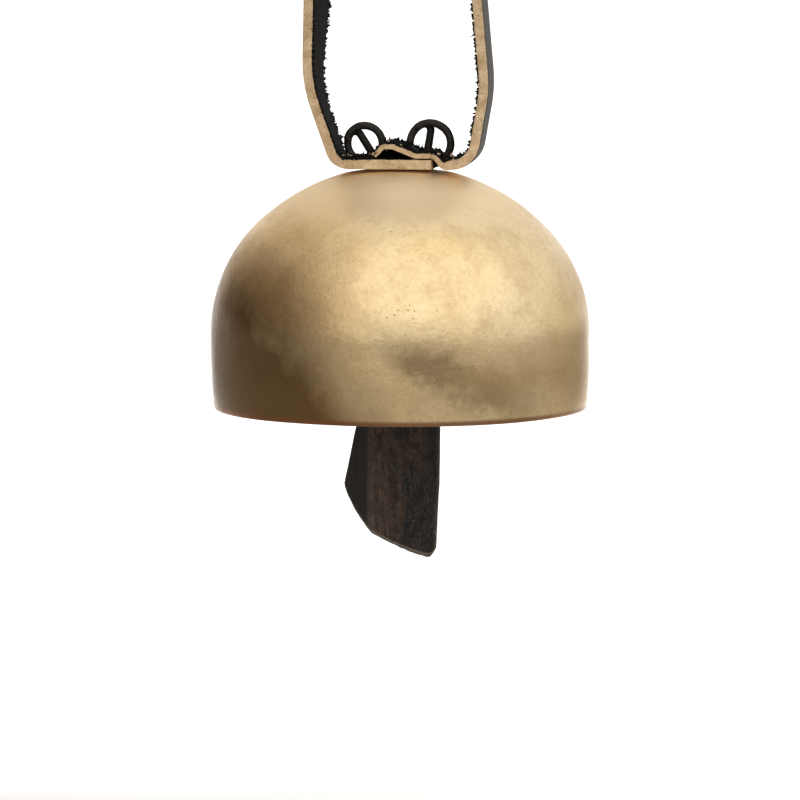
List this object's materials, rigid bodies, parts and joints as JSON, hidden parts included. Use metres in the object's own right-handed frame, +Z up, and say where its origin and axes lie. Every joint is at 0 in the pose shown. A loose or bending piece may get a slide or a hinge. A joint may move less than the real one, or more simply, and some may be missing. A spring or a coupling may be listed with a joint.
{
  "type": "temple bell",
  "caption": "Hanging brass dome bell on a leather loop, with a wire bail, a wire link and a swinging wooden clapper.",
  "frame": {"origin": "hang point: inside the top of the strap's loop, on the bell's axis", "axes": "+Z up along the bell's axis, X across the loop, Y along the strap's width"},
  "size_m": [0.14, 0.14, 0.2993],
  "materials": {
    "brass": "aged satin",
    "leather": "rough, dark dyed",
    "iron": "blackened wrought wire",
    "wood": "charred and oiled"
  },
  "bodies": {
    "bell": {"bell_shell": "brass", "strap": "leather", "hanger_wire": "iron"},
    "link": {"clapper_link": "iron"},
    "clapper": {"clapper": "wood"}
  },
  "joints": [
    {"name": "link_swing", "type": "hinge", "parent": "bell", "child": "link", "pos_m": [0, 0, -0.1655], "axis": [1, 0, 0], "range_deg": [-17, 17]},
    {"name": "clapper_swing", "type": "hinge", "parent": "link", "child": "clapper", "pos_m": [0, 0, -0.17885], "axis": [-0.6293, 0.7771, 0], "range_deg": [-20, 20]}
  ]
}
